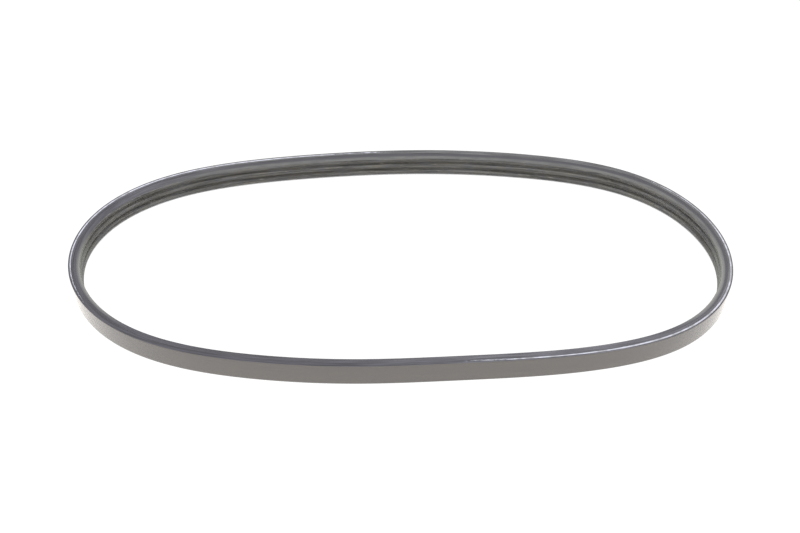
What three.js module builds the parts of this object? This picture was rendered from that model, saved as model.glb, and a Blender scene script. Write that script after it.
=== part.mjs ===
// A V-ribbed alternator belt: one endless band of rubber with V-shaped ribs round its inner side. It stands
// on its cut edge, squeezed from a ring to a long oval. Millimetres, X along the oval and Z up its width.
import * as THREE from 'three';

// Length of the belt, measured along its cord
const CORD_LENGTH = 625;

// Section of the belt, from its back to the tips of its ribs
const THICKNESS = 4.4;
const CORD_DEPTH = 1.0;
const RIB_COUNT = 3;
const RIB_PITCH = 3.56;
const RIB_HEIGHT = 2.4;
const RIB_ANGLE = THREE.MathUtils.degToRad(40);
const TIP_RADIUS = 0.45;
const ROOT_WIDTH = 0.3;

// How the ring is squeezed. An even bend all round would leave a circle, and each wave adds to that bend or
// takes from it, so many times round the belt, by its share of the even bend as a cosine and as a sine.
// Two waves make the long flat stretches, four make the ends round, and the rest set how the ends differ.
const BEND_WAVES = [
  { times: 2, cosine: -1.131, sine: 0 },
  { times: 3, cosine: -0.05, sine: 0.01 },
  { times: 4, cosine: 0.36, sine: -0.1 },
  { times: 5, cosine: 0.05, sine: -0.06 },
  { times: 6, cosine: -0.03, sine: 0.05 },
  { times: 7, cosine: -0.06, sine: 0.03 },
  { times: 8, cosine: 0, sine: -0.07 },
  { times: 9, cosine: 0.02, sine: -0.03 },
];

// Direction in which the near stretch sets off, turned from X
const START_HEADING = THREE.MathUtils.degToRad(2.44);

// Fineness of the model: length of a flat between two sections, steps of the walk along it, and steps in the
// rounding of a rib's tip
const FACET_LENGTH = 4.73;
const WALK_STEPS = 10;
const TIP_STEPS = 2;

// The single wave that closes the loop is found by trying small nudges
const CLOSING_ROUNDS = 6;
const NUDGE = 0.001;

const FULL_TURN = 2 * Math.PI;
const SECTIONS = Math.round(CORD_LENGTH / FACET_LENGTH);
const WIDTH = RIB_COUNT * RIB_PITCH;
const RING_RADIUS = CORD_LENGTH / FULL_TURN + CORD_DEPTH;

// Heading of the belt, part of the way round: the even bend and every wave, each summed from the start
function headingAt(turn, waves) {
  let heading = START_HEADING + turn;
  for (const { times, cosine, sine } of waves) {
    heading += (cosine * Math.sin(times * turn) + sine * (1 - Math.cos(times * turn))) / times;
  }
  return heading;
}

// Walks once along the cord. Returns a place and a heading for each section, and how far the walk ends from
// its start.
function walkCord(waves) {
  const steps = SECTIONS * WALK_STEPS;
  const stride = CORD_LENGTH / steps;
  const at = new THREE.Vector2();
  const places = [];
  for (let step = 0; step < steps; step++) {
    if (step % WALK_STEPS === 0) {
      places.push({ cord: at.clone(), heading: headingAt((step / steps) * FULL_TURN, waves) });
    }
    const heading = headingAt(((step + 0.5) / steps) * FULL_TURN, waves);
    at.x += stride * Math.cos(heading);
    at.y += stride * Math.sin(heading);
  }
  return { places, miss: at };
}

// All the waves, with the single wave that brings the walk back to its start
function closedWaves() {
  const closing = { times: 1, cosine: 0, sine: 0 };
  const missWith = (cosine, sine) => walkCord([{ times: 1, cosine, sine }, ...BEND_WAVES]).miss;
  for (let round = 0; round < CLOSING_ROUNDS; round++) {
    const { cosine, sine } = closing;
    const miss = missWith(cosine, sine);
    const byCosine = missWith(cosine + NUDGE, sine).sub(miss).divideScalar(NUDGE);
    const bySine = missWith(cosine, sine + NUDGE).sub(miss).divideScalar(NUDGE);
    const area = byCosine.cross(bySine);
    closing.cosine -= miss.cross(bySine) / area;
    closing.sine -= byCosine.cross(miss) / area;
  }
  return [closing, ...BEND_WAVES];
}

// Places round the belt, each with the direction out of its back, centred on the outside of the oval
function layCord() {
  const { places } = walkCord(closedWaves());
  const outside = new THREE.Box2();
  for (const place of places) {
    place.out = new THREE.Vector2(Math.sin(place.heading), -Math.cos(place.heading));
    outside.expandByPoint(place.cord.clone().addScaledVector(place.out, CORD_DEPTH));
  }
  const centre = outside.getCenter(new THREE.Vector2());
  for (const place of places) {
    place.cord.sub(centre);
  }
  return places;
}

// The section as it leaves the mould, as ring radius and height. It starts at the foot of the back, goes up
// the back, over the upper cut edge, down the ribs and over the lower cut edge.
function sectionOutline() {
  const rootRadius = RING_RADIUS - THICKNESS + RIB_HEIGHT;
  const tipRadius = RING_RADIUS - THICKNESS;
  const slope = Math.tan(RIB_ANGLE / 2);
  const halfFoot = (RIB_PITCH - ROOT_WIDTH) / 2;
  const halfTip = halfFoot - RIB_HEIGHT * slope;
  // A tip's corner is rounded between one point up the flank and one along the tip, both as far from it
  const trim = TIP_RADIUS * Math.tan((Math.PI / 2 - RIB_ANGLE / 2) / 2);
  const trimIn = trim * Math.cos(RIB_ANGLE / 2);
  const trimUp = trim * Math.sin(RIB_ANGLE / 2);

  const outline = new THREE.Path();
  outline.moveTo(RING_RADIUS, 0);
  outline.lineTo(RING_RADIUS, WIDTH);
  outline.lineTo(rootRadius, WIDTH);
  for (let rib = RIB_COUNT - 1; rib >= 0; rib--) {
    const middle = (rib + 0.5) * RIB_PITCH;
    outline.lineTo(rootRadius, middle + halfFoot);
    outline.lineTo(tipRadius + trimIn, middle + halfTip + trimUp);
    outline.quadraticCurveTo(tipRadius, middle + halfTip, tipRadius, middle + halfTip - trim);
    outline.lineTo(tipRadius, middle - halfTip + trim);
    outline.quadraticCurveTo(tipRadius, middle - halfTip, tipRadius + trimIn, middle - halfTip - trimUp);
    outline.lineTo(rootRadius, middle - halfFoot);
  }
  outline.lineTo(rootRadius, 0);
  outline.lineTo(RING_RADIUS, 0);
  return outline.getPoints(TIP_STEPS);
}

// The moulded ring, with each of its sections then moved to its place on the squeezed cord. What lies outside
// the cord on the ring lies as far outside it on the oval, so the section keeps its true size.
function beltGeometry() {
  const outline = sectionOutline();
  const geometry = new THREE.LatheGeometry(outline, SECTIONS);
  const places = layCord();
  const position = geometry.attributes.position;
  for (let index = 0; index < position.count; index++) {
    const place = places[Math.floor(index / outline.length) % SECTIONS];
    const { x: radius, y: height } = outline[index % outline.length];
    const spot = place.cord.clone().addScaledVector(place.out, radius - RING_RADIUS + CORD_DEPTH);
    position.setXYZ(index, spot.x, spot.y, height);
  }
  geometry.computeVertexNormals();
  return geometry;
}

const rubber = new THREE.MeshStandardMaterial({ color: '#625f5e', roughness: 0.75, metalness: 0 });

const belt = new THREE.Mesh(beltGeometry(), rubber);
belt.name = 'belt';

const alternatorBelt = new THREE.Group();
alternatorBelt.add(belt);

export default alternatorBelt;
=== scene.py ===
# %% [markdown]
# # A ribbed alternator belt
#
# The belt is one endless band of rubber. Its back is plain, three V-shaped ribs run round its inner side,
# and a layer of polyester cord between them carries the pull. It stands on a cut edge, squeezed to a long
# oval. The lesson makes it in the order in which it can be understood: the view, the finishes, the line
# that the cord takes, the rubber round that line, and last what the knife and the grinding wheel laid bare:
# the cut cord, the open fibres and the frayed filaments.

# %% Load the frame
import math

import bpy
import numpy as np
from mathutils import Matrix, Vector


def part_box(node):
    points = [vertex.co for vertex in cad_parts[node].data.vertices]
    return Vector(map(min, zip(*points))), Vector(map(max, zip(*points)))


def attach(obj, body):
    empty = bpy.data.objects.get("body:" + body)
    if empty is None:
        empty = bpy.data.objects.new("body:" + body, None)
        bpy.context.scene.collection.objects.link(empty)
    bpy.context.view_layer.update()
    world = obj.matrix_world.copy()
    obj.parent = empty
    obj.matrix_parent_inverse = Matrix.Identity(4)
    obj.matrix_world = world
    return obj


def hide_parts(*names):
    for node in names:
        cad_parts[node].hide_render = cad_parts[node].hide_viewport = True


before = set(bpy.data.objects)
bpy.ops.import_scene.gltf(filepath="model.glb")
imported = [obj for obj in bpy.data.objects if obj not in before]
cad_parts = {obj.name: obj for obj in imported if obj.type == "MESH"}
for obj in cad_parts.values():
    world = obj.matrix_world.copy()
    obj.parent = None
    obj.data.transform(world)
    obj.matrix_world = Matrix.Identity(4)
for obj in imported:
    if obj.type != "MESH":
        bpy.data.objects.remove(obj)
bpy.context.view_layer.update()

# %% [markdown]
# ## Sizes
# A ribbed belt of this section has a rib every 3.56 mm, so the width in the frame gives the pitch, and the
# rest of the section hangs on it. Blender works in metres, so every size is written in millimetres and
# multiplied.

# %% Sizes of the belt
MM = 0.001
RIB_COUNT = 3
THICKNESS = 4.4 * MM
CORD_DEPTH = 1.0 * MM
RIB_HEIGHT = 2.4 * MM
RIB_ANGLE = math.radians(40)
ROOT_WIDTH = 0.3 * MM
CORD_LENGTH = 625 * MM
RING_RADIUS_MM = CORD_LENGTH / math.tau / MM

belt_low, belt_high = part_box("belt")
WIDTH = belt_high[2] - belt_low[2]
RIB_PITCH = WIDTH / RIB_COUNT
print(f"width {WIDTH / MM:.2f} mm, rib pitch {RIB_PITCH / MM:.2f} mm")

# %% [markdown]
# ## The camera
# The camera's place, tilt and focal length came from matching the belt's edges in the photograph. It stands
# in front of the belt and looks down on it at a slant, without roll or shift.

# %% Camera
CAMERA_PLACE = (0.01 * MM, -318.78 * MM, 365.85 * MM)
CAMERA_PITCH = math.radians(48.888)
FOCAL_LENGTH_MM = 54
SENSOR_WIDTH_MM = 36

camera_data = bpy.data.cameras.new("camera")
camera_data.lens = FOCAL_LENGTH_MM
camera_data.sensor_width = SENSOR_WIDTH_MM
camera_data.clip_start = 10 * MM
camera = bpy.data.objects.new("camera", camera_data)
camera.location = CAMERA_PLACE
camera.rotation_euler = (math.pi / 2 - CAMERA_PITCH, 0, 0)
bpy.context.collection.objects.link(camera)
bpy.context.scene.camera = camera
print("camera looks down at", round(math.degrees(CAMERA_PITCH), 1), "degrees")

# %% [markdown]
# ## Nodes without clutter
# Materials and shapes are both node trees here. One small function adds a node, sets its own properties and
# has its inputs filled, and every tree below is built with it. The nodes and settings that come up most
# have short names.

# %% Names of common nodes and settings
MATH = "ShaderNodeMath"
VECTOR_MATH = "ShaderNodeVectorMath"
MAP_RANGE = "ShaderNodeMapRange"
MIX = "ShaderNodeMix"
COMBINE = "ShaderNodeCombineXYZ"
COMPARE = "FunctionNodeCompare"
RANDOM = "FunctionNodeRandomValue"
STORE = "GeometryNodeStoreNamedAttribute"
READ = "GeometryNodeInputNamedAttribute"
NUMBER = {"data_type": "FLOAT"}
VECTOR = {"data_type": "FLOAT_VECTOR"}
COLOURS = {"data_type": "RGBA"}
TINT = {"data_type": "RGBA", "blend_type": "MULTIPLY"}
SMOOTH = {"interpolation_type": "SMOOTHSTEP"}


# %% Fill a node's inputs, and add a node
def fill(tree, node, inputs):
    """Fills a node's sockets, told by name or place. Each takes a plain value, an output of another node, or
    another node, which stands for its first output."""
    for socket, value in inputs.items():
        if isinstance(value, bpy.types.Node):
            value = value.outputs[0]
        if isinstance(value, bpy.types.NodeSocket):
            tree.links.new(value, node.inputs[socket])
        else:
            node.inputs[socket].default_value = value


def add(tree, kind, settings=None, inputs=None):
    """Adds a node. settings are its own properties, or only the name of its operation."""
    node = tree.nodes.new(kind)
    if isinstance(settings, str):
        settings = {"operation": settings}
    for name, value in (settings or {}).items():
        setattr(node, name, value)
    fill(tree, node, inputs or {})
    return node


# %% Colours and empty materials
def colour(hex_code):
    """The linear colour of an sRGB hex code, as a shader's socket takes it."""
    channels = [int(hex_code[start:start + 2], 16) / 255 for start in (1, 3, 5)]
    linear = [c / 12.92 if c <= 0.04045 else ((c + 0.055) / 1.055) ** 2.4 for c in channels]
    return (*linear, 1.0)


def new_finish(name):
    """An empty material, with its tree and its shader."""
    material = bpy.data.materials.new(name)
    material.use_nodes = True
    return material, material.node_tree, material.node_tree.nodes["Principled BSDF"]


# %% [markdown]
# ## Studio
# The belt stands on a sheet of acrylic that glows from below, in a white room that is two and a half times
# as bright, so nothing behind it is darker than white. Soft light therefore comes from every side, and
# shape shows by what each face can see: faces that look up are lightest, the ribs' tips see as much table
# as room, the grooves see little of either, and the back turns bright where it is seen at a slant. The glow
# fades within three millimetres of the belt's foot, as light does under a rounded edge, so the belt keeps a
# dark lower rim.

# %% White room
ROOM_STRENGTH = 2.6
scene = bpy.context.scene
scene.view_settings.view_transform = "Standard"
room = bpy.data.worlds.new("white_room")
room.use_nodes = True
fill(room.node_tree, room.node_tree.nodes["Background"],
     {"Color": colour("#ffffff"), "Strength": ROOM_STRENGTH})
scene.world = room
print("room strength", ROOM_STRENGTH)

# %% Glowing table
FLOOR_HALF = 3.0
FLOOR_SINK = 0.05 * MM
TABLE_GLOW = 1.06
SHADOW_REACH = 3.0 * MM
DARK_UNDER = 0.14
LIT_OVER = 0.4
lit_acrylic, tree, shader = new_finish("lit_white_acrylic")
openness = add(tree, "ShaderNodeAmbientOcclusion", {}, {"Distance": SHADOW_REACH})
glow = add(tree, MAP_RANGE, SMOOTH,
           {0: openness.outputs["AO"], 1: DARK_UNDER, 2: LIT_OVER, 3: 0.0, 4: TABLE_GLOW})
fill(tree, shader, {
    "Base Color": colour("#101010"), "Specular IOR Level": 0.0, "Emission Color": colour("#ffffff"),
    "Emission Strength": glow})

corner_signs = ((-1, -1), (1, -1), (1, 1), (-1, 1))
floor_corners = [(x * FLOOR_HALF, y * FLOOR_HALF, -FLOOR_SINK) for x, y in corner_signs]
floor_mesh = bpy.data.meshes.new("floor")
floor_mesh.from_pydata(floor_corners, [], [(0, 1, 2, 3)])
floor_mesh.materials.append(lit_acrylic)
floor = bpy.data.objects.new("floor", floor_mesh)
bpy.context.collection.objects.link(floor)
print("table glow", TABLE_GLOW)

# %% [markdown]
# ## Finishes
# Every finish follows the belt, so each pattern is drawn on the belt as it was before it was bent: along
# it, across it and into it. The sweep below stores those places on the mesh in millimetres. `unrolled` is a
# place on a plain ring of the belt's length, with the height as its third number, and `depth` is how far a
# point lies under the back. A ring has no start, so no seam shows.

# %% A noise that is drawn out along the belt, and a colour that follows a noise
def grain(tree, along, across, detail=2.0, shift=0.0):
    """A noise whose grains are about along millimetres long and across millimetres wide."""
    place = add(tree, "ShaderNodeAttribute", {"attribute_name": "unrolled"})
    depth = add(tree, "ShaderNodeAttribute", {"attribute_name": "depth"})
    scaled = add(tree, VECTOR_MATH, "MULTIPLY",
                 {0: place.outputs["Vector"], 1: (1 / along, 1 / along, 1 / across)})
    deep = add(tree, MATH, "MULTIPLY_ADD", {0: depth.outputs["Fac"], 1: 1 / across, 2: shift})
    return add(tree, "ShaderNodeTexNoise", {"noise_dimensions": "4D"},
               {"Vector": scaled, "W": deep, "Scale": 1.0, "Detail": detail})


def tone_by(tree, pattern, limits, low_hex, high_hex):
    """The colour between two, by where a pattern lies between its limits."""
    share = add(tree, MAP_RANGE, {}, {0: pattern, 1: limits[0], 2: limits[1]})
    mixed = add(tree, MIX, COLOURS, {"Factor": share, 6: colour(low_hex), 7: colour(high_hex)})
    return mixed.outputs[2]


# %% [markdown]
# ### What changes round the belt
# The ribs and the cut are painted lighter at the two ends of the oval, where it is bent most. This is
# painted light. One quarter of the cut is painted darker, which is painted shade. A place on the plain ring,
# multiplied by the way to one turn of the ring, tells how near it is to that turn, so each change fades
# round the belt without a seam.

# %% How near a place is to one turn of the ring, and to the two bent ends
BENT_TURNS = (0.218, 0.776)
BENT_FROM = 0.945


def nearness(tree, turn):
    """1 where the ring has made this share of its full turn, and -1 across from there."""
    place = add(tree, "ShaderNodeAttribute", {"attribute_name": "unrolled"})
    way = (math.cos(turn * math.tau) / RING_RADIUS_MM, math.sin(turn * math.tau) / RING_RADIUS_MM, 0.0)
    dot = add(tree, VECTOR_MATH, "DOT_PRODUCT", {0: place.outputs["Vector"], 1: way})
    return dot.outputs["Value"]


# The share by which the bent ends are painted lighter, as painted light.
def bent_share(tree, most):
    """most at the two bent ends of the oval, and 0 away from them."""
    right, left = [nearness(tree, turn) for turn in BENT_TURNS]
    nearest = add(tree, MATH, "MAXIMUM", {0: right, 1: left})
    return add(tree, MAP_RANGE, SMOOTH, {0: nearest, 1: BENT_FROM, 2: 1.0, 3: 0.0, 4: most})


# %% [markdown]
# ### Ground rib rubber
# The ribs are black rubber filled with chopped fibre, and a grinding wheel cut them from a thick sleeve.
# Grinding leaves a matt face with fine lines along the belt and pale specks where fibres lie open. The real
# lines are about a tenth of a millimetre wide, and these are drawn several times as wide, so that they
# show. Black rubber sends back only three or four parts of light in a hundred, so the grey that the eye
# sees is mostly its matt gloss. Some of the ground dust stays in the grooves, and painted light is added
# there too: the grooves are painted paler, so they are less dark than their shade alone would make them.

# %% Streaks, patches and specks of the rib rubber
rib_rubber, tree, shader = new_finish("ground_fibre_filled_rubber")
streaks = grain(tree, along=16.0, across=0.7, detail=3.0)
specks = grain(tree, along=2.5, across=0.3, detail=2.0, shift=7.0)
patches = grain(tree, along=5.0, across=2.2, detail=3.0, shift=13.0)
streak_tone = tone_by(tree, streaks, (0.38, 0.62), "#1d1d1b", "#484845")
patch_tone = tone_by(tree, patches, (0.4, 0.62), "#f2f2ff", "#fff5e4")
warm_tone = add(tree, MIX, TINT, {"Factor": 1.0, 6: streak_tone, 7: patch_tone})
speck_share = add(tree, MAP_RANGE, {}, {0: specks, 1: 0.56, 2: 0.76})
ground_tone = add(tree, MIX, COLOURS, {"Factor": speck_share, 6: warm_tone.outputs[2], 7: colour("#5c5954")})

# %% Dust and painted light in the grooves, and painted light at the bent ends
GROOVE_DEPTH_MM = (THICKNESS - RIB_HEIGHT) / MM
GROOVE_PALE_ENDS_MM = 3.6
GROOVE_PALE_MOST = 0.75
BENT_LIGHT_MOST = 0.7
ground_depth = add(tree, "ShaderNodeAttribute", {"attribute_name": "depth"}).outputs["Fac"]
# The grooves' paler colour is partly ground dust and partly painted light against their shade.
groove_dust_and_light_share = add(tree, MAP_RANGE, SMOOTH,
                 {0: ground_depth, 1: GROOVE_DEPTH_MM, 2: GROOVE_PALE_ENDS_MM, 3: GROOVE_PALE_MOST, 4: 0.0})
groove_dust_and_light_tone = add(tree, MIX, COLOURS, {"Factor": groove_dust_and_light_share, 6: ground_tone.outputs[2], 7: colour("#86837c")})
# Painted light: the ribs are painted lighter at the two bent ends.
rib_bent_light = bent_share(tree, BENT_LIGHT_MOST)
rib_colour = add(tree, MIX, COLOURS, {"Factor": rib_bent_light, 6: groove_dust_and_light_tone.outputs[2], 7: colour("#585954")})

# %% Gloss and fine relief of the rib rubber
rib_gloss = add(tree, MAP_RANGE, {}, {0: patches, 1: 0.3, 2: 0.7, 3: 0.66, 4: 0.5})
rib_relief = add(tree, MATH, "ADD", {0: streaks, 1: specks})
rib_bump = add(tree, "ShaderNodeBump", {}, {"Strength": 0.5, "Distance": 0.05 * MM, "Height": rib_relief})
fill(tree, shader, {
    "Base Color": rib_colour.outputs[2], "Roughness": rib_gloss, "Normal": rib_bump, "IOR": 1.6})
print("finish:", rib_rubber.name)

# %% [markdown]
# ### Back rubber
# The back is an unfilled rubber that was pressed against a polished drum. It has a satin face of a warmer
# grey, with very faint lines along the belt, drawn coarser than they are. Wax comes to the surface as the
# rubber ages and leaves a thin skin, drawn as a coat: skin and rubber mirror the white table together, most
# of all where the back is seen at a slant. A weak, warm sheen adds the last of that glow.

# %% Back rubber
back_rubber, tree, shader = new_finish("satin_back_rubber")
lines = grain(tree, along=60.0, across=0.5, detail=2.0)
mottle = grain(tree, along=7.0, across=3.0, detail=4.0, shift=5.0)
back_tone = tone_by(tree, lines, (0.3, 0.7), "#322c27", "#3c352e")
mottle_tone = tone_by(tree, mottle, (0.35, 0.65), "#f0f2f6", "#fffaf4")
back_colour = add(tree, MIX, TINT, {"Factor": 1.0, 6: back_tone, 7: mottle_tone})
back_gloss = add(tree, MAP_RANGE, {}, {0: mottle, 1: 0.3, 2: 0.7, 3: 0.15, 4: 0.09})
back_bump = add(tree, "ShaderNodeBump", {}, {"Strength": 0.15, "Distance": 0.02 * MM, "Height": lines})
fill(tree, shader, {
    "Base Color": back_colour.outputs[2], "Roughness": back_gloss, "Normal": back_bump, "IOR": 1.6,
    "Coat Weight": 1.0, "Coat IOR": 1.5, "Coat Roughness": 0.1,
    "Sheen Weight": 0.2, "Sheen Roughness": 0.3, "Sheen Tint": colour("#ffe0bc")})
print("finish:", back_rubber.name)

# %% [markdown]
# ### Cut edge
# A round knife cut the belt from the sleeve. The cut is smooth, with fine marks along the belt, again drawn
# coarser than they are, and its fresh rubber is a cool, lilac grey. One quarter of the ring is painted
# darker than the rest, as painted shade. Across from it the grey is more neutral. There the foot of the
# outer flank is dark, and the flank above it is mottled with the plainer grey of the ribs. Towards the tips
# the bent ends are painted palest, as painted light.

# %% Lilac and neutral grey of the cut
NEUTRAL_TURN = 0.42
NEUTRAL_FROM = -0.1
NEUTRAL_FULL = 0.5
cut_rubber, tree, shader = new_finish("knife_cut_rubber")
marks = grain(tree, along=14.0, across=0.6, detail=3.0, shift=3.0)
lilac_tone = tone_by(tree, marks, (0.38, 0.62), "#28282e", "#434249")
neutral_tone = tone_by(tree, marks, (0.38, 0.62), "#2d2d2f", "#4a4a4c")
neutral_share = add(tree, MAP_RANGE, SMOOTH,
                    {0: nearness(tree, NEUTRAL_TURN), 1: NEUTRAL_FROM, 2: NEUTRAL_FULL})
cut_tone = add(tree, MIX, COLOURS, {"Factor": neutral_share, 6: lilac_tone, 7: neutral_tone})

# %% Dark foot and mottle of the outer flank
FOOT_FROM_MM = 1.9
FOOT_FULL_MM = 2.3
MOTTLE_FROM_MM = 2.8
MOTTLE_FULL_MM = 3.4
cut_depth = add(tree, "ShaderNodeAttribute", {"attribute_name": "depth"}).outputs["Fac"]
foot_share = add(tree, MAP_RANGE, {}, {0: cut_depth, 1: FOOT_FROM_MM, 2: FOOT_FULL_MM})
foot_here = add(tree, MATH, "MULTIPLY", {0: foot_share, 1: neutral_share})
foot_tone = add(tree, MIX, COLOURS, {"Factor": foot_here, 6: cut_tone.outputs[2], 7: colour("#2c2c31")})
flank_share = add(tree, MAP_RANGE, {}, {0: cut_depth, 1: MOTTLE_FROM_MM, 2: MOTTLE_FULL_MM})
flank_here = add(tree, MATH, "MULTIPLY", {0: flank_share, 1: neutral_share})
blotches = grain(tree, along=6.0, across=0.9, detail=4.0, shift=23.0)
blotch_share = add(tree, MAP_RANGE, {}, {0: blotches, 1: 0.4, 2: 0.6, 3: 0.5, 4: 1.0})
mottle_share = add(tree, MATH, "MULTIPLY", {0: flank_here, 1: blotch_share})
mottled_tone = add(tree, MIX, COLOURS,
                   {"Factor": mottle_share, 6: foot_tone.outputs[2], 7: colour("#4a4a49")})

# %% Painted shade on one quarter of the cut, and painted light at its bent ends
SHADED_TURN = 0.86
SHADED_REACH = 0.3
# Painted shade: one quarter of the cut is painted darker than the rest.
unshaded_share = add(tree, MAP_RANGE, SMOOTH, {0: nearness(tree, SHADED_TURN), 1: 1.0, 2: SHADED_REACH})
painted_shade_tint = add(tree, MIX, COLOURS, {"Factor": unshaded_share, 6: colour("#b8b5be"), 7: colour("#ffffff")})
shaded_cut_tone = add(tree, MIX, TINT, {"Factor": 1.0, 6: mottled_tone.outputs[2], 7: painted_shade_tint.outputs[2]})
outer_share = add(tree, MAP_RANGE, {}, {0: cut_depth, 1: MOTTLE_FROM_MM, 2: THICKNESS / MM})
# Painted light: towards the tips, the cut is painted palest at the bent ends.
cut_bent_light_share = add(tree, MATH, "MULTIPLY", {0: outer_share, 1: bent_share(tree, 1.0)})
cut_colour = add(tree, MIX, COLOURS, {"Factor": cut_bent_light_share, 6: shaded_cut_tone.outputs[2], 7: colour("#656562")})
cut_bump = add(tree, "ShaderNodeBump", {}, {"Strength": 0.6, "Distance": 0.03 * MM, "Height": marks})
fill(tree, shader, {"Base Color": cut_colour.outputs[2], "Normal": cut_bump, "Roughness": 0.55, "IOR": 1.4})
print("finish:", cut_rubber.name)

# %% [markdown]
# ### Cut cord
# The cord is white polyester, dipped in a rubber solution so that it holds, so its cut filaments are a pale
# grey with darker ones between them. They take up light like chalk, with hardly any gloss. They are drawn
# far wider than real ones, so that they show.

# %% Cut cord
polyester, tree, shader = new_finish("cut_polyester_cord")
filaments = grain(tree, along=3.0, across=0.3, detail=3.0, shift=17.0)
filament_tone = tone_by(tree, filaments, (0.38, 0.58), "#737378", "#92939c")
filament_bump = add(tree, "ShaderNodeBump", {}, {"Strength": 0.8, "Distance": 0.04 * MM, "Height": filaments})
fill(tree, shader, {"Base Color": filament_tone, "Normal": filament_bump, "Roughness": 0.85})
print("finish:", polyester.name)

# %% [markdown]
# ## The line of the cord
# A belt bends, but its cord doesn't stretch, so the oval is best told along the cord: how much it bends at
# each place. An even bend all round would be a circle. Waves are added to it: two waves make the long flat
# stretches, four make the ends round, and the small ones tell one end from the other. A single wave, found
# by trying, brings the end back to the start. This rule is worked out once in numbers here, to find that
# wave and the oval's middle, and then built as nodes.

# %% Close the line and find its middle
STATIONS = 820
START_HEADING = math.radians(2.44)
BEND_WAVES = {2: (-1.131, 0.0), 3: (-0.05, 0.01), 4: (0.36, -0.1), 5: (0.05, -0.06),
              6: (-0.03, 0.05), 7: (-0.06, 0.03), 8: (0.0, -0.07), 9: (0.02, -0.03)}
CLOSING_ROUNDS = 6
NUDGE = 0.001


def walk_cord(waves):
    """Walks the cord in strides from the origin. Returns where each starts, and where the last one ends."""
    middle = (np.arange(STATIONS) + 0.5) * math.tau / STATIONS
    heading = START_HEADING + middle
    for times, (cosine, sine) in waves.items():
        heading += (cosine * np.sin(times * middle) + sine * (1 - np.cos(times * middle))) / times
    strides = np.column_stack((np.cos(heading), np.sin(heading))) * CORD_LENGTH / STATIONS
    ends = np.cumsum(strides, axis=0)
    return ends - strides, ends[-1]


closing = np.zeros(2)
for _ in range(CLOSING_ROUNDS):
    miss = walk_cord({1: closing, **BEND_WAVES})[1]
    nudged = [walk_cord({1: closing + nudge, **BEND_WAVES})[1] for nudge in np.eye(2) * NUDGE]
    slopes = [(end - miss) / NUDGE for end in nudged]
    closing = closing - np.linalg.solve(np.column_stack(slopes), miss)
WAVES = {1: tuple(closing), **BEND_WAVES}
places, miss = walk_cord(WAVES)
ahead = np.roll(places, -1, axis=0) - np.roll(places, 1, axis=0)
outwards = np.column_stack((ahead[:, 1], -ahead[:, 0])) / np.linalg.norm(ahead, axis=1)[:, None]
outside = places + outwards * CORD_DEPTH
CENTRE = (outside.max(axis=0) + outside.min(axis=0)) / 2
print(f"the line closes to {np.linalg.norm(miss) / MM:.6f} mm")
print("its back is", np.ptp(outside, axis=0) / MM, "mm across")

# %% [markdown]
# In nodes, a row of points is made first, and each point then finds its place: its number gives its part of
# the full turn, the waves give its heading, and Accumulate Field sums the strides up to it. The same group
# serves the rubber and the cords.

# %% Trees with named inputs
SOCKET_KINDS = {int: "NodeSocketInt", float: "NodeSocketFloat", tuple: "NodeSocketVector"}


def new_tree(name, sizes):
    """A geometry tree whose inputs are named and start at these sizes, with its input and output nodes."""
    tree = bpy.data.node_groups.new(name, "GeometryNodeTree")
    for label, size in sizes.items():
        socket = tree.interface.new_socket(label, in_out="INPUT", socket_type=SOCKET_KINDS[type(size)])
        socket.default_value = size
    tree.interface.new_socket("Geometry", in_out="OUTPUT", socket_type="NodeSocketGeometry")
    return tree, tree.nodes.new("NodeGroupInput").outputs, tree.nodes.new("NodeGroupOutput")


# %% The cord's line as a node group
wave_sizes = {}
for times, (cosine, sine) in WAVES.items():
    wave_sizes[f"Wave {times} cosine"] = float(cosine)
    wave_sizes[f"Wave {times} sine"] = float(sine)
cord_line, given, made = new_tree("cord_line", {
    "Stations": STATIONS, "Cord length": CORD_LENGTH, "Start heading": START_HEADING,
    "Centre": (float(CENTRE[0]), float(CENTRE[1]), 0.0), **wave_sizes})

station = add(cord_line, "GeometryNodeInputIndex")
turn_step = add(cord_line, MATH, "DIVIDE", {0: math.tau, 1: given["Stations"]})
turn = add(cord_line, MATH, "MULTIPLY", {0: station, 1: turn_step})
middle = add(cord_line, MATH, "MULTIPLY_ADD", {0: turn_step, 1: 0.5, 2: turn})
heading = add(cord_line, MATH, "ADD", {0: middle, 1: given["Start heading"]})
for times in WAVES:
    phase = add(cord_line, MATH, "MULTIPLY", {0: middle, 1: float(times)})
    swing = add(cord_line, MATH, "SINE", {0: phase})
    return_swing = add(cord_line, MATH, "COSINE", {0: phase})
    rise = add(cord_line, MATH, "SUBTRACT", {0: 1.0, 1: return_swing})
    by_cosine = add(cord_line, MATH, "MULTIPLY", {0: swing, 1: given[f"Wave {times} cosine"]})
    by_both = add(cord_line, MATH, "MULTIPLY_ADD",
                  {0: rise, 1: given[f"Wave {times} sine"], 2: by_cosine})
    heading = add(cord_line, MATH, "MULTIPLY_ADD", {0: by_both, 1: 1 / times, 2: heading})

# %% Strides, summed to places
stride = add(cord_line, MATH, "DIVIDE", {0: given["Cord length"], 1: given["Stations"]})
to_east = add(cord_line, MATH, "COSINE", {0: heading})
to_north = add(cord_line, MATH, "SINE", {0: heading})
way = add(cord_line, COMBINE, {}, {0: to_east, 1: to_north})
one_stride = add(cord_line, VECTOR_MATH, "SCALE", {0: way, "Scale": stride})
walked = add(cord_line, "GeometryNodeAccumulateField", {"data_type": "FLOAT_VECTOR"}, {0: one_stride})
place = add(cord_line, VECTOR_MATH, "SUBTRACT", {0: walked.outputs["Trailing"], 1: given["Centre"]})

round_x = add(cord_line, MATH, "COSINE", {0: turn})
round_y = add(cord_line, MATH, "SINE", {0: turn})
round_way = add(cord_line, COMBINE, {}, {0: round_x, 1: round_y})
ring_place = add(cord_line, VECTOR_MATH, "SCALE", {0: round_way, "Scale": RING_RADIUS_MM})

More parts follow.
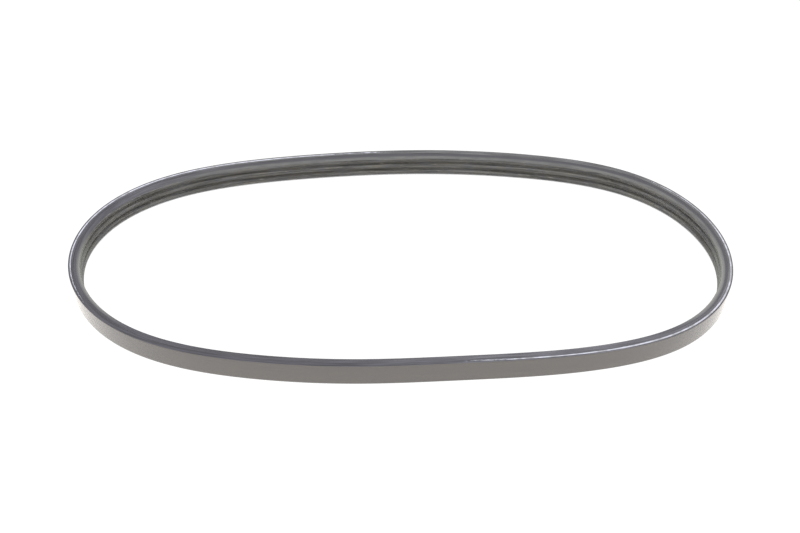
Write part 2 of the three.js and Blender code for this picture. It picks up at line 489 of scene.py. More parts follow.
row = add(cord_line, "GeometryNodeMeshLine", {}, {"Count": given["Stations"], "Offset": (0, 0, 0)})
laid = add(cord_line, "GeometryNodeSetPosition", {}, {"Geometry": row, "Position": place})
marked = add(cord_line, STORE, VECTOR,
             {"Geometry": laid, "Name": "ring_place", "Value": ring_place})
line = add(cord_line, "GeometryNodeMeshToCurve", {}, {"Mesh": marked})
closed = add(cord_line, "GeometryNodeSetSplineCyclic", {}, {"Geometry": line, "Cyclic": True})
upright = add(cord_line, "GeometryNodeSetCurveNormal", {"mode": "Z_UP"}, {"Curve": closed})
cord_line.links.new(upright.outputs[0], made.inputs[0])
print("the line's group has", len(cord_line.nodes), "nodes")

# %% [markdown]
# ## The rubber
# The section is the same all round, so it is drawn once and swept along the line. Its corners follow a
# rule: each rib has four, the feet and the two ends of its tip, and the back closes the outline. Fillet
# Curve rounds each corner by its own radius, and Subdivide Curve then puts points along the flats, so that
# the swept mesh is even enough to carry relief.

# %% Sizes of the section's corners
TIP_RADIUS = 0.45 * MM
ROOT_RADIUS = 0.1 * MM
CUT_RADIUS = 0.05 * MM
BACK_RADIUS = 0.06 * MM
FACE_STEP = 0.45 * MM
CORNER_STEPS = 3
CORNERS_PER_RIB = 4.0
OTHER_CORNERS = 4.0

belt_tree, given, made = new_tree("ribbed_belt", {
    "Stations": STATIONS, "Rib count": RIB_COUNT, "Rib pitch": RIB_PITCH, "Rib height": RIB_HEIGHT,
    "Rib angle": RIB_ANGLE, "Root width": ROOT_WIDTH, "Thickness": THICKNESS, "Cord depth": CORD_DEPTH,
    "Tip radius": TIP_RADIUS, "Root radius": ROOT_RADIUS, "Cut radius": CUT_RADIUS,
    "Back radius": BACK_RADIUS, "Face step": FACE_STEP})

# %% Half widths and depths of a rib
half_angle = add(belt_tree, MATH, "MULTIPLY", {0: given["Rib angle"], 1: 0.5})
slope = add(belt_tree, MATH, "TANGENT", {0: half_angle})
foot_span = add(belt_tree, MATH, "SUBTRACT", {0: given["Rib pitch"], 1: given["Root width"]})
half_foot = add(belt_tree, MATH, "MULTIPLY", {0: foot_span, 1: 0.5})
flank_run = add(belt_tree, MATH, "MULTIPLY", {0: given["Rib height"], 1: slope})
half_tip = add(belt_tree, MATH, "SUBTRACT", {0: half_foot, 1: flank_run})
foot_depth = add(belt_tree, MATH, "SUBTRACT", {0: given["Thickness"], 1: given["Rib height"]})
width = add(belt_tree, MATH, "MULTIPLY", {0: given["Rib pitch"], 1: given["Rib count"]})


# %% Corners of the ribs
def choose(tree, index, options):
    """The number whose place in the list is the index."""
    switch = add(tree, "GeometryNodeIndexSwitch", NUMBER, {0: index})
    while len(switch.index_switch_items) < len(options):
        switch.index_switch_items.new()
    fill(tree, switch, dict(enumerate(options, start=1)))
    return switch


corner = add(belt_tree, "GeometryNodeInputIndex")
rib = add(belt_tree, MATH, "DIVIDE", {0: corner, 1: CORNERS_PER_RIB})
whole_rib = add(belt_tree, MATH, "FLOOR", {0: rib})
of_four = add(belt_tree, MATH, "MODULO", {0: corner, 1: CORNERS_PER_RIB})
rib_middle_count = add(belt_tree, MATH, "ADD", {0: whole_rib, 1: 0.5})
rib_middle = add(belt_tree, MATH, "MULTIPLY", {0: rib_middle_count, 1: given["Rib pitch"]})
minus_foot = add(belt_tree, MATH, "MULTIPLY", {0: half_foot, 1: -1.0})
minus_tip = add(belt_tree, MATH, "MULTIPLY", {0: half_tip, 1: -1.0})
rib_offset = choose(belt_tree, of_four, [minus_foot, minus_tip, half_tip, half_foot])
rib_height = add(belt_tree, MATH, "ADD", {0: rib_middle, 1: rib_offset})
rib_depth = choose(belt_tree, of_four, [foot_depth, given["Thickness"], given["Thickness"], foot_depth])
rib_radius = choose(belt_tree, of_four, [
    given["Root radius"], given["Tip radius"], given["Tip radius"], given["Root radius"]])

# %% Corners of the cut edges and the back
rib_corners = add(belt_tree, MATH, "MULTIPLY", {0: given["Rib count"], 1: CORNERS_PER_RIB})
past_ribs = add(belt_tree, MATH, "SUBTRACT", {0: corner, 1: rib_corners})
HALF_A_CORNER = 0.5
is_past_ribs = add(belt_tree, COMPARE, "GREATER_THAN", {0: past_ribs, 1: -HALF_A_CORNER})
back_height = choose(belt_tree, past_ribs, [width, width, 0.0, 0.0])
back_depth = choose(belt_tree, past_ribs, [foot_depth, 0.0, 0.0, foot_depth])
back_radius = choose(belt_tree, past_ribs, [
    given["Cut radius"], given["Back radius"], given["Back radius"], given["Cut radius"]])
height, depth, radius = [
    add(belt_tree, "GeometryNodeSwitch", {"input_type": "FLOAT"},
        {"Switch": is_past_ribs, "False": on_ribs, "True": on_back})
    for on_ribs, on_back in ((rib_height, back_height), (rib_depth, back_depth), (rib_radius, back_radius))]

# %% [markdown]
# Curve to Mesh lays a section's X along the line's normal, which points out of the back, and its Y
# downwards, so a corner goes at the cord's depth less its own, and at its height with the sign turned.

# %% The outline, rounded and divided
out = add(belt_tree, MATH, "SUBTRACT", {0: given["Cord depth"], 1: depth})
down = add(belt_tree, MATH, "MULTIPLY", {0: height, 1: -1.0})
corner_place = add(belt_tree, COMBINE, {}, {0: out, 1: down})
corner_count = add(belt_tree, MATH, "ADD", {0: rib_corners, 1: OTHER_CORNERS})
corner_row = add(belt_tree, "GeometryNodeMeshLine", {}, {"Count": corner_count, "Offset": (0, 0, 0)})
corners_laid = add(belt_tree, "GeometryNodeSetPosition", {},
                   {"Geometry": corner_row, "Position": corner_place})
corners_marked = add(belt_tree, STORE, NUMBER,
                     {"Geometry": corners_laid, "Name": "corner_radius", "Value": radius})
open_outline = add(belt_tree, "GeometryNodeMeshToCurve", {}, {"Mesh": corners_marked})
sharp_outline = add(belt_tree, "GeometryNodeSetSplineCyclic", {}, {"Geometry": open_outline, "Cyclic": True})
own_radius = add(belt_tree, READ, NUMBER, {"Name": "corner_radius"})
round_outline = add(belt_tree, "GeometryNodeFilletCurve", {"mode": "POLY"},
                    {"Curve": sharp_outline, "Radius": own_radius, "Limit Radius": True,
                     "Count": CORNER_STEPS})

# %% The outline's flats, divided
point = add(belt_tree, "GeometryNodeInputIndex")
here = add(belt_tree, "GeometryNodeInputPosition")
outline_points = add(belt_tree, "GeometryNodeAttributeDomainSize", {"component": "CURVE"}, {0: round_outline})
next_point = add(belt_tree, MATH, "ADD", {0: point, 1: 1.0})
next_on_ring = add(belt_tree, MATH, "MODULO", {0: next_point, 1: outline_points})
there = add(belt_tree, "GeometryNodeFieldAtIndex", {"data_type": "FLOAT_VECTOR", "domain": "POINT"},
            {"Value": here, "Index": next_on_ring})
gap = add(belt_tree, VECTOR_MATH, "DISTANCE", {0: here, 1: there})
steps = add(belt_tree, MATH, "DIVIDE", {0: gap.outputs["Value"], 1: given["Face step"]})
cuts = add(belt_tree, MATH, "FLOOR", {0: steps})
outline = add(belt_tree, "GeometryNodeSubdivideCurve", {}, {"Curve": round_outline, "Cuts": cuts})
outline_place = add(belt_tree, STORE, VECTOR,
                    {"Geometry": outline, "Name": "outline_place", "Value": here})

# %% Sweep the section along the line
line = add(belt_tree, "GeometryNodeGroup", {"node_tree": cord_line}, {"Stations": given["Stations"]})
swept = add(belt_tree, "GeometryNodeCurveToMesh", {}, {"Curve": line, "Profile Curve": outline_place})

ring_place = add(belt_tree, READ, VECTOR, {"Name": "ring_place"})
on_outline = add(belt_tree, READ, VECTOR, {"Name": "outline_place"})
outline_parts = add(belt_tree, "ShaderNodeSeparateXYZ", {}, {0: on_outline})
cord_depth_mm = add(belt_tree, MATH, "DIVIDE", {0: given["Cord depth"], 1: MM})
depth_mm = add(belt_tree, MATH, "MULTIPLY_ADD",
               {0: outline_parts.outputs["X"], 1: -1 / MM, 2: cord_depth_mm})
height_mm = add(belt_tree, MATH, "MULTIPLY", {0: outline_parts.outputs["Y"], 1: -1 / MM})
height_part = add(belt_tree, COMBINE, {}, {2: height_mm})
unrolled = add(belt_tree, VECTOR_MATH, "ADD", {0: ring_place, 1: height_part})
with_unrolled = add(belt_tree, STORE, VECTOR,
                    {"Geometry": swept, "Name": "unrolled", "Value": unrolled})
with_depth = add(belt_tree, STORE, NUMBER,
                 {"Geometry": with_unrolled, "Name": "depth", "Value": depth_mm})

# %% [markdown]
# Grinding leaves the ribs a little uneven, most of all at their tips, while the back and the cut are true.
# Each point moves along its normal by a noise that is drawn out along the belt, and more so the deeper it
# lies.

# %% Ground relief
RELIEF_AT_CUT = 0.008 * MM
RELIEF_AT_TIP = 0.06 * MM
RELIEF_SCALE = (0.35, 0.35, 0.9)
uneven_place = add(belt_tree, VECTOR_MATH, "MULTIPLY", {0: unrolled, 1: RELIEF_SCALE})
uneven = add(belt_tree, "ShaderNodeTexNoise", {"noise_dimensions": "4D"},
             {"Vector": uneven_place, "W": depth_mm, "Scale": 1.0, "Detail": 2.0})
from_mean = add(belt_tree, MATH, "SUBTRACT", {0: uneven, 1: 0.5})
relief_size = add(belt_tree, MAP_RANGE, {},
                  {0: depth_mm, 1: GROOVE_DEPTH_MM, 2: THICKNESS / MM, 3: RELIEF_AT_CUT, 4: RELIEF_AT_TIP})
relief = add(belt_tree, MATH, "MULTIPLY", {0: from_mean, 1: relief_size})
face_way = add(belt_tree, "GeometryNodeInputNormal")
relief_move = add(belt_tree, VECTOR_MATH, "SCALE", {0: face_way, "Scale": relief})
with_relief = add(belt_tree, "GeometryNodeSetPosition", {}, {"Geometry": with_depth, "Offset": relief_move})

# %% [markdown]
# The two outermost flanks have the same cool grey as the cut edges, so a finish is chosen by place: that of
# the cut edges reaches in to the tips of the outer ribs.

# %% Hand out the finishes
BACK_REACH_MM = 0.1
FLANK_MARGIN_MM = 0.1
flank_run_mm = add(belt_tree, MATH, "DIVIDE", {0: flank_run, 1: MM})
width_mm = add(belt_tree, MATH, "DIVIDE", {0: width, 1: MM})
from_foot = add(belt_tree, MATH, "MULTIPLY_ADD", {0: width_mm, 1: -0.5, 2: height_mm})
from_middle = add(belt_tree, MATH, "ABSOLUTE", {0: from_foot})
cut_start = add(belt_tree, MATH, "MULTIPLY_ADD", {0: width_mm, 1: 0.5, 2: -FLANK_MARGIN_MM})
outer_flank_start = add(belt_tree, MATH, "SUBTRACT", {0: cut_start, 1: flank_run_mm})
is_outer = add(belt_tree, COMPARE, "GREATER_THAN", {0: from_middle, 1: outer_flank_start})
is_back = add(belt_tree, COMPARE, "LESS_THAN", {0: depth_mm, 1: BACK_REACH_MM})
real = add(belt_tree, "GeometryNodeRealizeInstances", {}, {"Geometry": with_relief})
smooth = add(belt_tree, "GeometryNodeSetShadeSmooth", {}, {"Geometry": real, "Shade Smooth": True})
ribs_done = add(belt_tree, "GeometryNodeSetMaterial", {}, {"Geometry": smooth, "Material": rib_rubber})
cut_done = add(belt_tree, "GeometryNodeSetMaterial", {},
               {"Geometry": ribs_done, "Selection": is_outer, "Material": cut_rubber})
back_done = add(belt_tree, "GeometryNodeSetMaterial", {},
                {"Geometry": cut_done, "Selection": is_back, "Material": back_rubber})
belt_tree.links.new(back_done.outputs[0], made.inputs[0])
print("the belt's tree has", len(belt_tree.nodes), "nodes")

# %% [markdown]
# ## From nodes to a plain mesh
# A modifier's inputs are set by the socket's identifier, before anything looks at the object. The evaluated
# result is then copied to a plain mesh, which is what rides on the frame.

# %% Run a tree and keep its mesh
def run_tree(name, tree, sizes):
    """The mesh object that a tree makes with these sizes."""
    piece = bpy.data.objects.new(name, bpy.data.meshes.new(name))
    bpy.context.collection.objects.link(piece)
    modifier = piece.modifiers.new(tree.name, "NODES")
    modifier.node_group = tree
    for socket in tree.interface.items_tree:
        if socket.in_out == "INPUT" and socket.name in sizes:
            modifier[socket.identifier] = sizes[socket.name]
    depsgraph = bpy.context.evaluated_depsgraph_get()
    evaluated = piece.evaluated_get(depsgraph)
    mesh = bpy.data.meshes.new_from_object(evaluated, preserve_all_data_layers=True, depsgraph=depsgraph)
    piece.modifiers.remove(modifier)
    piece.data = mesh
    mesh.name = name
    mesh.calc_loop_triangles()
    print(f"{name}: {len(mesh.vertices)} vertices, {len(mesh.loop_triangles)} triangles")
    return piece


def volume_of(mesh):
    """The volume inside a mesh. It is negative if the faces point inwards."""
    mesh.calc_loop_triangles()
    corners = np.empty(len(mesh.vertices) * 3)
    mesh.vertices.foreach_get("co", corners)
    corners = corners.reshape(-1, 3)
    faces = np.empty(len(mesh.loop_triangles) * 3, int)
    mesh.loop_triangles.foreach_get("vertices", faces)
    a, b, c = corners[faces.reshape(-1, 3)].transpose(1, 0, 2)
    return float((np.cross(a, b) * c).sum() / 6)


# %% The belt
belt = run_tree("ribbed_belt", belt_tree, {"Stations": STATIONS})
print(f"volume {volume_of(belt.data) / MM ** 3:.0f} cubic millimetres")
low = np.min([v.co for v in belt.data.vertices], axis=0)
high = np.max([v.co for v in belt.data.vertices], axis=0)
print("belt from", low / MM, "to", high / MM, "mm")
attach(belt, "root")
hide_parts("belt")

# %% [markdown]
# ## The cut cord
# The cord is wound round the sleeve as a pair of slow helices, and the knife then cuts the sleeve square.
# So each cord climbs through the cut once a turn: its streak starts as a hair, is widest where its middle
# lies in the cut, and thins out again. That is why the pale line shows round both ends of the belt and not
# between them.
#
# The tree lays a row of points where the knife met the cord, finds the cord's height over the cut at each,
# and sweeps a flat, slightly proud section that is as wide as the cut makes it.

# %% The cord's sizes
CORD_RADIUS = 0.32 * MM
CORD_LEAD = 2.26 * MM
CORD_STEPS = 700
CORD_SIDES = 10
CORD_OUTSET = 0.14 * MM
CORD_WANDER = 0.1 * MM
CORD_RISE = 0.03 * MM
CORD_SINK = 0.12 * MM
UPPER_CUT_TURNS = (0.185, 0.648)
LOWER_CUT_TURNS = (0.255, 0.75)
print(f"a cord crosses the cut over {2 * CORD_RADIUS / CORD_LEAD * CORD_LENGTH / MM:.0f} mm of the belt")

# %% Points along the cut
cord_tree, given, made = new_tree("cut_cord", {
    "Crossing turn": UPPER_CUT_TURNS[0], "Cut height": WIDTH, "Cord radius": CORD_RADIUS, "Lead": CORD_LEAD,
    "Steps": CORD_STEPS, "Outset": CORD_OUTSET, "Wander": CORD_WANDER, "Rise": CORD_RISE, "Sink": CORD_SINK,
    "Seed": 0.0})
point = add(cord_tree, "GeometryNodeInputIndex")
share = add(cord_tree, MATH, "DIVIDE", {0: point, 1: given["Steps"]})
either_side = add(cord_tree, MATH, "MULTIPLY_ADD", {0: share, 1: 2.0, 2: -1.0})
reach = add(cord_tree, MATH, "DIVIDE", {0: given["Cord radius"], 1: given["Lead"]})
turn = add(cord_tree, MATH, "MULTIPLY_ADD", {0: either_side, 1: reach, 2: given["Crossing turn"]})
turn_part = add(cord_tree, MATH, "FRACT", {0: turn})


def place_on_line(tree, turn):
    """The cord's line at a turn: its position, tangent and normal, and its place on the plain ring."""
    line = add(tree, "GeometryNodeGroup", {"node_tree": cord_line})
    ring_place = add(tree, READ, VECTOR, {"Name": "ring_place"})
    return add(tree, "GeometryNodeSampleCurve", {"mode": "FACTOR", "data_type": "FLOAT_VECTOR"},
               {"Curves": line, "Value": ring_place, "Factor": turn})


on_line = place_on_line(cord_tree, turn_part)

# %% [markdown]
# A knife frays polyester, so the band's width is uneven, least in the middle of a crossing, and its thin ends
# break into dashes. The band also wanders from its line by a twentieth of a millimetre at most. Both follow
# noises on the plain ring, whose scales are in waves per millimetre.

# %% The cord's width at each point
UNEVEN_SCALE = 0.3
UNEVEN_SHARE = 0.6
EVENED_BY_CHORD = 0.86
LEAST_SHARE = 0.22
squared = add(cord_tree, MATH, "MULTIPLY", {0: either_side, 1: either_side})
left_over = add(cord_tree, MATH, {"operation": "SUBTRACT", "use_clamp": True}, {0: 1.0, 1: squared})
chord = add(cord_tree, MATH, "SQRT", {0: left_over})
uneven = add(cord_tree, "ShaderNodeTexNoise", {"noise_dimensions": "4D"},
             {"Vector": on_line.outputs["Value"], "W": given["Seed"], "Scale": UNEVEN_SCALE, "Detail": 4.0,
              "Roughness": 0.7})
uneven_share = add(cord_tree, MAP_RANGE, {},
                   {0: uneven, 1: 0.35, 2: 0.65, 3: -UNEVEN_SHARE, 4: UNEVEN_SHARE})
uneven_left = add(cord_tree, MATH, "MULTIPLY_ADD", {0: chord, 1: -EVENED_BY_CHORD, 2: 1.0})
uneven_here = add(cord_tree, MATH, "MULTIPLY", {0: uneven_share, 1: uneven_left})
cut_share = add(cord_tree, MATH, "ADD", {0: chord, 1: uneven_here})
is_uncut = add(cord_tree, COMPARE, "LESS_THAN", {0: cut_share, 1: LEAST_SHARE})

# %% How far the cord lies outside its line
WANDER_SCALE = 0.25
WANDER_SEED_STEP = 31.0
wander_seed = add(cord_tree, MATH, "ADD", {0: given["Seed"], 1: WANDER_SEED_STEP})
wander = add(cord_tree, "ShaderNodeTexNoise", {"noise_dimensions": "4D"},
             {"Vector": on_line.outputs["Value"], "W": wander_seed, "Scale": WANDER_SCALE, "Detail": 3.0})
wander_share = add(cord_tree, MATH, "SUBTRACT", {0: wander, 1: 0.5})
aside = add(cord_tree, MATH, "MULTIPLY_ADD", {0: wander_share, 1: given["Wander"], 2: given["Outset"]})
aside_move = add(cord_tree, VECTOR_MATH, "SCALE", {0: on_line.outputs["Normal"], "Scale": aside})
beside_line = add(cord_tree, VECTOR_MATH, "ADD", {0: on_line.outputs["Position"], 1: aside_move})
cut_place = add(cord_tree, COMBINE, {}, {2: given["Cut height"]})
cord_place = add(cord_tree, VECTOR_MATH, "ADD", {0: beside_line, 1: cut_place})

# %% Lay the points and delete what the knife didn't meet
row = add(cord_tree, "GeometryNodeMeshLine", {}, {"Count": given["Steps"], "Offset": (0, 0, 0)})
with_share = add(cord_tree, STORE, NUMBER, {"Geometry": row, "Name": "cut_share", "Value": cut_share})
cut_height_mm = add(cord_tree, MATH, "DIVIDE", {0: given["Cut height"], 1: MM})
height_part = add(cord_tree, COMBINE, {}, {2: cut_height_mm})
cord_unrolled = add(cord_tree, VECTOR_MATH, "ADD", {0: on_line.outputs["Value"], 1: height_part})
with_place = add(cord_tree, STORE, VECTOR,
                 {"Geometry": with_share, "Name": "unrolled", "Value": cord_unrolled})
laid = add(cord_tree, "GeometryNodeSetPosition", {}, {"Geometry": with_place, "Position": cord_place})
cut_only = add(cord_tree, "GeometryNodeDeleteGeometry", {"domain": "POINT"},
               {"Geometry": laid, "Selection": is_uncut})
bands = add(cord_tree, "GeometryNodeMeshToCurve", {}, {"Mesh": cut_only})
upright = add(cord_tree, "GeometryNodeSetCurveNormal", {"mode": "Z_UP"}, {"Curve": bands})

# %% The band's section: a ring, drawn flat, that sinks deeper than it rises
circle = add(cord_tree, "GeometryNodeCurvePrimitiveCircle", {}, {"Resolution": CORD_SIDES, "Radius": 1.0})
round_place = add(cord_tree, "GeometryNodeInputPosition")
round_parts = add(cord_tree, "ShaderNodeSeparateXYZ", {}, {0: round_place})
section_x = add(cord_tree, MATH, "MULTIPLY", {0: round_parts.outputs["X"], 1: given["Cord radius"]})
is_low = add(cord_tree, COMPARE, "GREATER_THAN", {0: round_parts.outputs["Y"], 1: 0.0})
section_scale = add(cord_tree, "GeometryNodeSwitch", {"input_type": "FLOAT"},
                    {"Switch": is_low, "False": given["Rise"], "True": given["Sink"]})
section_y = add(cord_tree, MATH, "MULTIPLY", {0: round_parts.outputs["Y"], 1: section_scale})
section_place = add(cord_tree, COMBINE, {}, {0: section_x, 1: section_y})
section = add(cord_tree, "GeometryNodeSetPosition", {}, {"Geometry": circle, "Position": section_place})
section_x_mm = add(cord_tree, MATH, "DIVIDE", {0: section_x, 1: MM})
marked_section = add(cord_tree, STORE, NUMBER,
                     {"Geometry": section, "Name": "section_aside", "Value": section_x_mm})


# %% Sweep the section
def end_tree(tree, made, geometry, material):
    """Makes instances real, sets the material and hands the mesh out."""
    real = add(tree, "GeometryNodeRealizeInstances", {}, {"Geometry": geometry})
    done = add(tree, "GeometryNodeSetMaterial", {}, {"Geometry": real, "Material": material})
    tree.links.new(done.outputs[0], made.inputs[0])
    print(f"the tree {tree.name} has {len(tree.nodes)} nodes")


own_share = add(cord_tree, READ, NUMBER, {"Name": "cut_share"})
swept = add(cord_tree, "GeometryNodeCurveToMesh", {},
            {"Curve": upright, "Profile Curve": marked_section, "Scale": own_share, "Fill Caps": True})
own_aside = add(cord_tree, READ, NUMBER, {"Name": "section_aside"})
scaled_aside = add(cord_tree, MATH, "MULTIPLY", {0: own_aside, 1: own_share})
with_depth = add(cord_tree, STORE, NUMBER, {"Geometry": swept, "Name": "depth", "Value": scaled_aside})
smooth = add(cord_tree, "GeometryNodeSetShadeSmooth", {}, {"Geometry": with_depth, "Shade Smooth": True})
end_tree(cord_tree, made, smooth, polyester)

# %% [markdown]
# The upper cut shows its two crossings. The lower cut has two of its own, elsewhere round the belt, because
# the belt isn't a whole number of leads wide. There the section is turned over: it stands into the rubber
# and hardly out of it, because the belt rests on that edge. Nothing shows where these two are, so their
# places are a guess.

# %% Both cords in both cuts
LOWER_RISE = 0.12 * MM
LOWER_SINK = 0.02 * MM
LOWER_SEED = 10.0
for cut_name, turns, sizes, cut_seed in (
        ("upper", UPPER_CUT_TURNS, {"Cut height": WIDTH, "Rise": CORD_RISE, "Sink": CORD_SINK}, 0.0),
        ("lower", LOWER_CUT_TURNS, {"Cut height": 0.0, "Rise": LOWER_RISE, "Sink": LOWER_SINK}, LOWER_SEED)):
    for number, crossing in enumerate(turns, start=1):
        cord = run_tree(f"{cut_name}_cord_{number}", cord_tree,
                        {"Crossing turn": crossing, "Seed": cut_seed + number, **sizes})
        print(f"volume {volume_of(cord.data) / MM ** 3:.3f} cubic millimetres")
        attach(cord, "root")

# %% [markdown]
# ## Open fibres
# The rib rubber is filled with chopped fibre, and grinding lays some of the ends bare. They stand out of
# the flanks and tips by a fraction of a millimetre and give the ribs a slight fuzz. Distribute Points on
# Faces scatters them over the faces that are neither back nor cut, each point carries a three-sided spike,
# and a random turn leans it. Real fibres are a fiftieth of a millimetre thick, and these are drawn three
# times as thick, so that they show.

# %% Fibre finish
chopped_fibre, tree, shader = new_finish("chopped_cotton_fibre")
fibre_tone = add(tree, MIX, COLOURS,
                 {"Factor": grain(tree, along=3.0, across=1.0), 6: colour("#4a4740"), 7: colour("#8f8a7e")})
fill(tree, shader, {"Base Color": fibre_tone.outputs[2], "Roughness": 0.9})
print("finish:", chopped_fibre.name)

# %% Sizes of the fibres
FIBRES_PER_SQUARE_METRE = 400000.0
FIBRE_LENGTH = 0.32 * MM
FIBRE_RADIUS = 0.03 * MM
FIBRE_SIDES = 3
FIBRE_LEAN = 1.1
LEAST_FIBRE = 0.4
LONGEST_FIBRE = 1.2
FIBRE_SEED = 5

fibre_tree, given, made = new_tree("open_fibres", {
    "Density": FIBRES_PER_SQUARE_METRE, "Length": FIBRE_LENGTH, "Radius": FIBRE_RADIUS, "Lean": FIBRE_LEAN,
    "Seed": FIBRE_SEED, "Flank depth": GROOVE_DEPTH_MM, "Inner height": (RIB_PITCH / 2) / MM,
    "Outer height": (WIDTH - RIB_PITCH / 2) / MM})

# %% Scatter points over the ribs, from the middle of the lowest to the middle of the highest
carrier = add(fibre_tree, "GeometryNodeObjectInfo", {"transform_space": "ORIGINAL"}, {"Object": belt})
own_depth = add(fibre_tree, READ, NUMBER, {"Name": "depth"})
own_place = add(fibre_tree, READ, VECTOR, {"Name": "unrolled"})
own_height = add(fibre_tree, "ShaderNodeSeparateXYZ", {}, {0: own_place}).outputs["Z"]
is_deep = add(fibre_tree, COMPARE, "GREATER_THAN", {0: own_depth, 1: given["Flank depth"]})
is_above = add(fibre_tree, COMPARE, "GREATER_THAN", {0: own_height, 1: given["Inner height"]})
is_below = add(fibre_tree, COMPARE, "LESS_THAN", {0: own_height, 1: given["Outer height"]})
is_between = add(fibre_tree, "FunctionNodeBooleanMath", "AND", {0: is_above, 1: is_below})
is_rib = add(fibre_tree, "FunctionNodeBooleanMath", "AND", {0: is_deep, 1: is_between})
spots = add(fibre_tree, "GeometryNodeDistributePointsOnFaces", {},
            {"Mesh": carrier.outputs["Geometry"], "Selection": is_rib, "Density": given["Density"],
             "Seed": given["Seed"]})

# %% Stand a leaning spike on each point
spike = add(fibre_tree, "GeometryNodeMeshCone", {"fill_type": "TRIANGLE_FAN"},
            {"Vertices": FIBRE_SIDES, "Side Segments": 1, "Fill Segments": 1, "Radius Top": 0.0,
             "Radius Bottom": given["Radius"], "Depth": given["Length"]})
lean_back = add(fibre_tree, MATH, "MULTIPLY", {0: given["Lean"], 1: -1.0})
lean_low = add(fibre_tree, COMBINE, {}, {0: lean_back, 1: lean_back})
lean_high = add(fibre_tree, COMBINE, {}, {0: given["Lean"], 1: given["Lean"], 2: math.tau})
lean = add(fibre_tree, RANDOM, VECTOR, {0: lean_low, 1: lean_high, "Seed": given["Seed"]})
leaned = add(fibre_tree, "FunctionNodeRotateRotation", {"rotation_space": "LOCAL"},
             {0: spots.outputs["Rotation"], 1: lean.outputs[0]})
stretch = add(fibre_tree, RANDOM, NUMBER, {2: LEAST_FIBRE, 3: LONGEST_FIBRE, "Seed": given["Seed"]})
standing = add(fibre_tree, "GeometryNodeInstanceOnPoints", {},
               {"Points": spots, "Instance": spike, "Rotation": leaned, "Scale": stretch.outputs[1]})
spot_place = add(fibre_tree, STORE, {"data_type": "FLOAT_VECTOR", "domain": "INSTANCE"},
                 {"Geometry": standing, "Name": "unrolled", "Value": own_place})
end_tree(fibre_tree, made, spot_place, chopped_fibre)

open_fibres = run_tree("open_fibres", fibre_tree, {"Density": FIBRES_PER_SQUARE_METRE})
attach(open_fibres, "root")

# %% [markdown]
# ## Frayed filaments
# Where a cord leaves the cut, the knife takes it at a slant and pulls single filaments out. They trail
# along the edge as pale hairs, so the cord's line looks doubled and broken there. Each is one curved
# segment, turned to the belt's own direction and then a little off it at random, and all are swept at once
# with a three-sided section. They are drawn a few times too thick, so that they show.

# %% Sizes of the filaments, and where they are frayed
FRAY_COUNT = 26
FRAY_RADIUS = 0.045 * MM
FRAY_SIDES = 3
FRAY_REACH = 2.4 * MM
FRAY_STEPS = 6
FRAY_RISE = 0.25 * MM
END_RISE_SHARE = 0.3
ASIDE_SHARE = 0.06
FRAY_TURN = (0.05, 0.06, 0.16)
LEAST_FRAY = 0.3
LONGEST_FRAY = 1.1
FRAY_SPANS = {
    "near_right": (0.035, 0.06), "far_right": (0.27, 0.34), "far_left": (0.5, 0.54),
    "near_left": (0.76, 0.79)}

fray_tree, given, made = new_tree("frayed_filaments", {
    "From turn": 0.0, "To turn": 1.0, "Count": FRAY_COUNT, "Radius": FRAY_RADIUS, "Reach": FRAY_REACH,
    "Rise": FRAY_RISE, "Cut height": WIDTH, "Seed": 1})

# %% Where each filament starts
picked = add(fray_tree, RANDOM, NUMBER, {2: 0.0, 3: 1.0, "Seed": given["Seed"]})
span = add(fray_tree, MATH, "SUBTRACT", {0: given["To turn"], 1: given["From turn"]})
turn = add(fray_tree, MATH, "MULTIPLY_ADD", {0: picked.outputs[1], 1: span, 2: given["From turn"]})
on_line = place_on_line(fray_tree, turn)
row = add(fray_tree, "GeometryNodeMeshLine", {}, {"Count": given["Count"], "Offset": (0, 0, 0)})
lift = add(fray_tree, COMBINE, {}, {2: given["Cut height"]})
root = add(fray_tree, VECTOR_MATH, "ADD", {0: on_line.outputs["Position"], 1: lift})
roots = add(fray_tree, "GeometryNodeSetPosition", {}, {"Geometry": row, "Position": root})

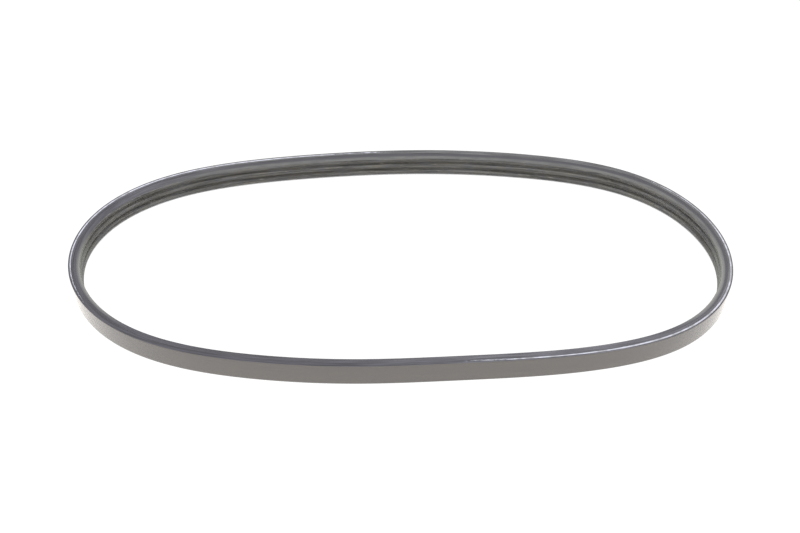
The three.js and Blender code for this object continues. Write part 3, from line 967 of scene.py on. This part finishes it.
# %% One curved filament
half_reach = add(fray_tree, MATH, "MULTIPLY", {0: given["Reach"], 1: 0.5})
aside = add(fray_tree, MATH, "MULTIPLY", {0: given["Reach"], 1: -ASIDE_SHARE})
bend_place = add(fray_tree, COMBINE, {}, {0: half_reach, 2: given["Rise"]})
end_height = add(fray_tree, MATH, "MULTIPLY", {0: given["Rise"], 1: END_RISE_SHARE})
end_place = add(fray_tree, COMBINE, {}, {0: given["Reach"], 1: aside, 2: end_height})
curl = add(fray_tree, "GeometryNodeCurveQuadraticBezier", {},
           {"Resolution": FRAY_STEPS, "Start": (0, 0, 0), "Middle": bend_place, "End": end_place})

# %% Lay the filaments along the belt and sweep them
least_turn = tuple(-part for part in FRAY_TURN)
any_turn = add(fray_tree, RANDOM, VECTOR, {0: least_turn, 1: FRAY_TURN, "Seed": given["Seed"]})
along_belt = add(fray_tree, "FunctionNodeAlignRotationToVector", {"axis": "X"},
                 {2: on_line.outputs["Tangent"]})
turned = add(fray_tree, "FunctionNodeRotateRotation", {"rotation_space": "LOCAL"},
             {0: along_belt, 1: any_turn.outputs[0]})
any_size = add(fray_tree, RANDOM, NUMBER, {2: LEAST_FRAY, 3: LONGEST_FRAY, "Seed": given["Seed"]})
curls = add(fray_tree, "GeometryNodeInstanceOnPoints", {},
            {"Points": roots, "Instance": curl, "Rotation": turned, "Scale": any_size.outputs[1]})
curls_real = add(fray_tree, "GeometryNodeRealizeInstances", {}, {"Geometry": curls})
thin_ring = add(fray_tree, "GeometryNodeCurvePrimitiveCircle", {},
                {"Resolution": FRAY_SIDES, "Radius": given["Radius"]})
hairs = add(fray_tree, "GeometryNodeCurveToMesh", {},
            {"Curve": curls_real, "Profile Curve": thin_ring, "Fill Caps": True})
end_tree(fray_tree, made, hairs, polyester)

for number, (place_name, (from_turn, to_turn)) in enumerate(FRAY_SPANS.items(), start=1):
    fray = run_tree(f"{place_name}_fray", fray_tree,
                    {"From turn": from_turn, "To turn": to_turn, "Seed": number})
    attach(fray, "root")
